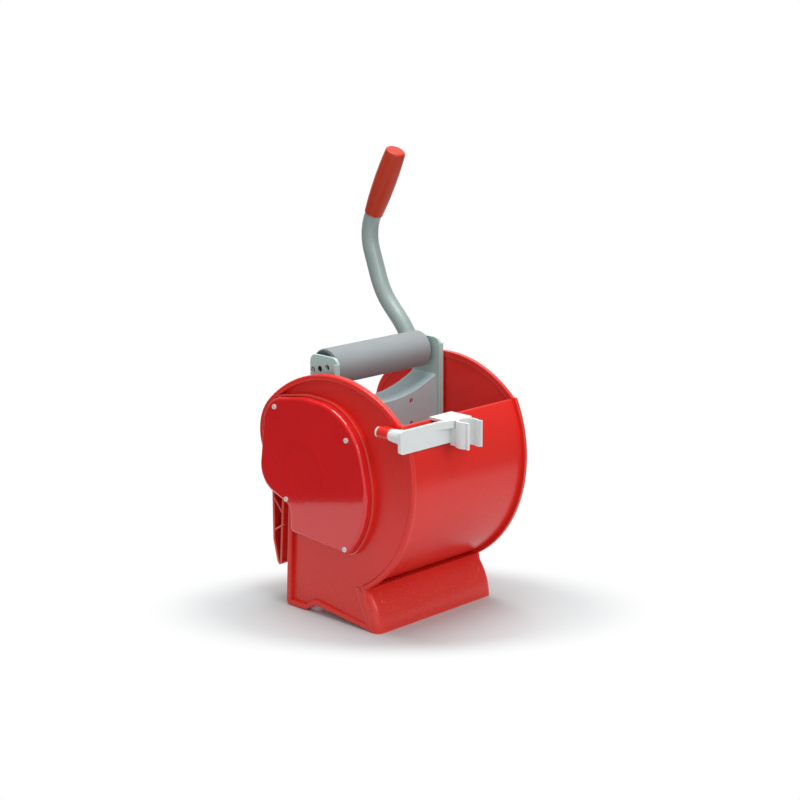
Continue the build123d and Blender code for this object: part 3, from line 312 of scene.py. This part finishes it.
plug_plastic, place = start_finish("plug_plastic", {})
flow = cloud(place, 120, 3)
feed(
    plug_plastic,
    {
        "Base Color": tint(flow, paint(66, 80, 78), paint(86, 100, 97)),
        "Roughness": 0.45 + flow * 0.15,
    },
)
wear(plug_plastic, ["roller_plugs"])

# Axle screws. Socket screws in the ends of the roller's axle, level with the arms' outer faces. They are
# plated too, and painted dark grey as painted shade, which stands for the shade in the arms' holes round
# them.
shade_dark_zinc, place = start_finish("shade_dark_zinc", {"Metallic": 0.4})
mottle = cloud(place, 900, 3)
feed(
    shade_dark_zinc,
    {
        # Painted shade: the dark grey stands for the shade inside the holes.
        "Base Color": tint(mottle, paint(52, 58, 58), paint(84, 91, 90)),
        "Roughness": 0.36 + mottle * 0.2,
    },
)
wear(shade_dark_zinc, ["axle_screws"])

# Lever. A steel tube, bent in one plane and bolted into a cast hub on the end of the shaft. Both have a
# grey-green coating with a slight orange peel.
lever_coat, place = start_finish("lever_coat", {"Coat Weight": 0.5, "Coat Roughness": 0.25})
peel = cloud(place, 420, 2)
patch = cloud(place, 22, 2)
feed(
    lever_coat,
    {
        "Base Color": tint(patch, paint(136, 152, 149), paint(148, 164, 160)),
        "Roughness": 0.34 + peel * 0.12,
        "Normal": relief(peel, 0.0003, 0.35),
    },
)
wear(lever_coat, ["lever_tube", "lever_hub"])

# Grip. A red sleeve moulded as a full barrel, with a closed and rounded end. It is pushed over the
# tube and stays by friction, so it is turned here on the tube's last straight run.
GRIP_LENGTH = 0.1055
GRIP_LEAN = np.radians(-26.5)
GRIP_FOOT_R, GRIP_MIDDLE_R, GRIP_TOP_R = 0.0136, 0.0163, 0.0146
GRIP_ROUND = 0.004
GRIP_BORE_R = 0.0126
GRIP_END = 0.008
BARREL_RINGS = 28
ROUND_RINGS = 8
MERGED_WITHIN = 1e-6
SHARP_ANGLE = np.radians(40)


def turned(name, radii, heights, foot, along, steps=72):
    """A closed form turned on an axis: at angle a, a point of the profile (r, h) lies at
    foot + h along + r (cos a side + sin a across). Points with r = 0 close it on the axis."""
    side = np.array([1.0, 0.0, 0.0])
    across = np.cross(along, side)
    angles = np.linspace(0, 2 * np.pi, steps, endpoint=False)
    spokes = np.cos(angles)[:, None] * side + np.sin(angles)[:, None] * across
    rings = np.array(heights)[:, None, None] * along + np.array(radii)[:, None, None] * spokes[None]
    count = len(radii)
    ring, step = np.meshgrid(np.arange(count), np.arange(steps), indexing="ij")
    after, beside = (ring + 1) % count, (step + 1) % steps
    corners = [ring * steps + step, ring * steps + beside, after * steps + beside, after * steps + step]
    quads = np.stack(corners, axis=-1).reshape(-1, 4)
    mesh = bpy.data.meshes.new(name)
    mesh.from_pydata((rings + foot).reshape(-1, 3).tolist(), [], quads.tolist())
    shape = bmesh.new()
    shape.from_mesh(mesh)
    bmesh.ops.remove_doubles(shape, verts=shape.verts, dist=MERGED_WITHIN)
    bmesh.ops.recalc_face_normals(shape, faces=shape.faces)
    shape.to_mesh(mesh)
    shape.free()
    mesh.shade_smooth()
    mesh.set_sharp_from_angle(angle=SHARP_ANGLE)
    piece = bpy.data.objects.new(name, mesh)
    bpy.context.scene.collection.objects.link(piece)
    return piece


# The barrel's radius is the parabola through its foot, middle and top, up to the rounded end.
share = np.linspace(0, 1 - GRIP_ROUND / GRIP_LENGTH, BARREL_RINGS)
barrel = (
    GRIP_FOOT_R * (1 - share) * (1 - 2 * share)
    + 4 * GRIP_MIDDLE_R * share * (1 - share)
    + GRIP_TOP_R * share * (2 * share - 1)
)
bend = np.linspace(0, np.pi / 2, ROUND_RINGS)[1:]
grip_radii = [*barrel, *(barrel[-1] - GRIP_ROUND * (1 - np.cos(bend))), 0, 0, GRIP_BORE_R, GRIP_BORE_R]
grip_heights = [
    *(share * GRIP_LENGTH),
    *(GRIP_LENGTH - GRIP_ROUND * (1 - np.sin(bend))),
    GRIP_LENGTH,
    GRIP_LENGTH - GRIP_END,
    GRIP_LENGTH - GRIP_END,
    0,
]
grip_along = np.array([0, np.sin(GRIP_LEAN), np.cos(GRIP_LEAN)])
grip_middle = np.mean(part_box("lever_grip"), axis=0)
grip_foot = grip_middle - grip_along * GRIP_LENGTH / 2
grip = turned("barrel_grip", grip_radii, grip_heights, grip_foot, grip_along)
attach(grip, "carriage")
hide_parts("lever_grip")
grip_red, place = start_finish("grip_red", {"Specular IOR Level": 0.35})
flow = cloud(place, 30, 3)
skin = cloud(place, 1500, 2)
feed(
    grip_red,
    {
        "Base Color": tint(flow, paint(172, 46, 22), paint(188, 54, 28)),
        "Roughness": 0.34 + skin * 0.12,
        "Normal": relief(skin, 0.0002, 0.3),
    },
)
grip.data.materials.append(grip_red)

# Rubber stops in the case. Black rubber bushes, pushed on moulded posts where the shaft's stop arm meets
# them at both ends of its swing, and dusty from the mould.
stop_rubber, place = start_finish("stop_rubber", {"Specular IOR Level": 0.3})
dust = cloud(place, 500, 3)
feed(
    stop_rubber,
    {
        "Base Color": tint(dust, paint(18, 18, 18), paint(38, 38, 38)),
        "Roughness": 0.7 + dust * 0.2,
    },
)
wear(stop_rubber, ["stop_bumpers"])

# Handle clip. A white acetal moulding: an arm with a block and a snap ring for a mop's handle. Its capped
# pin, of the same plastic, is fixed in the arm's hub and turns in the drum's corner boss.
clip_white, place = start_finish("clip_white", {"Subsurface Weight": 0.08, "Subsurface Scale": 0.004})
milk = cloud(place, 60, 3)
skin = cloud(place, 1600, 2)
feed(
    clip_white,
    {
        "Base Color": tint(milk, paint(217, 221, 220), paint(229, 232, 231)),
        "Roughness": 0.28 + skin * 0.12,
        "Normal": relief(skin, 0.0002, 0.25),
    },
)
wear(clip_white, ["clip_arm", "clip_pin"])

# Floor. A pale paper sheet under the wringer, which goes white in an oval round it, wider across the
# picture than along it, and keeps the wringer's shadow inside.
FLOOR_HALF = 3.0
OVAL_MIDDLE = (-0.016, 0.054, 0.0)
OVAL_TURN = (0.0, 0.0, 0.787)
OVAL_REACH = (0.2, 0.36, 1.0)
OVAL_EDGE = 0.65


def sheet_mesh(name, corners):
    """A flat four-cornered sheet from its corner points."""
    mesh = bpy.data.meshes.new(name)
    mesh.from_pydata(corners, [], [(0, 1, 2, 3)])
    sheet = bpy.data.objects.new(name, mesh)
    bpy.context.scene.collection.objects.link(sheet)
    return sheet


def backdrop_rays(wire):
    """1 for the rays that show what lies behind: seen straight, mirrored, or through glass."""
    kinds = ("Is Camera Ray", "Is Glossy Ray", "Is Transmission Ray")
    seen, mirrored, refracted = [wire.node("ShaderNodeLightPath", {}, {}, output=kind) for kind in kinds]
    return seen + mirrored + refracted


corner_signs = ((-1, -1), (1, -1), (1, 1), (-1, 1))
floor = sheet_mesh("floor", [(across * FLOOR_HALF, along * FLOOR_HALF, 0) for across, along in corner_signs])
floor_paper, place = start_finish("floor_paper", {"Roughness": 0.9, "Specular IOR Level": 0.1})
tooth = cloud(place, 400, 2)
feed(floor_paper, {"Base Color": tint(tooth, paint(203, 209, 210), paint(209, 215, 216))})
in_oval = place.node(
    "ShaderNodeMapping",
    {"vector_type": "TEXTURE"},
    {"Vector": place, "Location": OVAL_MIDDLE, "Rotation": OVAL_TURN, "Scale": OVAL_REACH},
)
outwards = place.node("ShaderNodeVectorMath", {"operation": "LENGTH"}, {0: in_oval}, output="Value")
white = place.node("ShaderNodeEmission", {}, {"Color": (1, 1, 1, 1), "Strength": 1.0})
paper_tree = floor_paper.node_tree
shaded = Wire(paper_tree.nodes["Principled BSDF"].outputs[0])
whitened = step_up(outwards, OVAL_EDGE, 1.0) * backdrop_rays(place)
mixed = place.node("ShaderNodeMixShader", {}, {0: whitened, 1: shaded, 2: white})
paper_tree.links.new(mixed.socket, paper_tree.nodes["Material Output"].inputs["Surface"])
floor.data.materials.append(floor_paper)

# Studio. Even pale surroundings, which show as white behind the wringer and in its gloss, a large soft
# lamp overhead and a weaker one in front.
SURROUNDING_LIGHT = 0.62
LAMPS_AIM = (0, 0.05, 0.2)
OVERHEAD_AT, OVERHEAD_SIZE, OVERHEAD_WATTS = (0.0, 0.05, 1.9), 1.0, 24
FRONT_AT, FRONT_SIZE, FRONT_WATTS = (-0.4, -2.0, 1.4), 0.8, 13

world = bpy.data.worlds.new("studio")
bpy.context.scene.world = world
world.use_nodes = True
background = world.node_tree.nodes["Background"]
background.inputs["Color"].default_value = (1, 1, 1, 1)
backdrop = backdrop_rays(Wire(background.outputs[0]))
brightness = SURROUNDING_LIGHT + backdrop * (1 - SURROUNDING_LIGHT)
world.node_tree.links.new(brightness.socket, background.inputs["Strength"])


def soft_lamp(name, at, aim, size, power):
    """A square lamp at one point that faces another."""
    lamp = bpy.data.lights.new(name, "AREA")
    lamp.size = size
    lamp.energy = power
    holder = bpy.data.objects.new(name, lamp)
    holder.location = at
    holder.rotation_euler = (Vector(aim) - Vector(at)).to_track_quat("-Z", "Y").to_euler()
    bpy.context.scene.collection.objects.link(holder)


soft_lamp("overhead", OVERHEAD_AT, LAMPS_AIM, OVERHEAD_SIZE, OVERHEAD_WATTS)
soft_lamp("front", FRONT_AT, LAMPS_AIM, FRONT_SIZE, FRONT_WATTS)

# Dark cards outside the picture, to the left rear and the right front. The polished cover and the
# drum's front wall mirror them above the floor, and they take no light from the rest.
CARD_BOTTOM, CARD_TOP = 0.002, 1.3
CARD_FEET = {
    "left_card": ((-1.2, -0.2), (0.2, 1.2)),
    "right_card": ((1.37, 0.33), (-0.43, -1.47)),
}
card_cloth, place = start_finish("card_cloth", {"Roughness": 1.0, "Specular IOR Level": 0.0})
feed(card_cloth, {"Base Color": tint(cloud(place, 200, 2), paint(72, 68, 68), paint(84, 80, 80))})
for name, (near, far) in CARD_FEET.items():
    low_edge = [(*near, CARD_BOTTOM), (*far, CARD_BOTTOM)]
    card = sheet_mesh(name, [*low_edge, (*far, CARD_TOP), (*near, CARD_TOP)])
    card.data.materials.append(card_cloth)
    card.visible_camera = False
    card.visible_diffuse = False
    card.visible_shadow = False

# Camera at the photograph's place, to the left front of the wringer and looking down on it. The place, the
# two directions and the focal length are the perspective in which the drum's round rims agree.
CAMERA_AT = Vector((-1.6864, -1.6236, 0.8674))
VIEW_AHEAD = Vector((0.68625, 0.68864, -0.23416))
VIEW_RIGHT = Vector((0.70782, -0.70639, -0.00303))
SENSOR_WIDTH = 36
FOCAL_LENGTH = 80.92

lens = bpy.data.cameras.new("camera")
lens.sensor_width = SENSOR_WIDTH
lens.lens = FOCAL_LENGTH
camera = bpy.data.objects.new("camera", lens)
view_up = VIEW_RIGHT.cross(VIEW_AHEAD)
turn = Matrix((VIEW_RIGHT, view_up, -VIEW_AHEAD)).transposed()
camera.matrix_world = Matrix.Translation(CAMERA_AT) @ turn.to_4x4()
bpy.context.scene.collection.objects.link(camera)
bpy.context.scene.camera = camera
bpy.context.scene.view_settings.view_transform = "Standard"
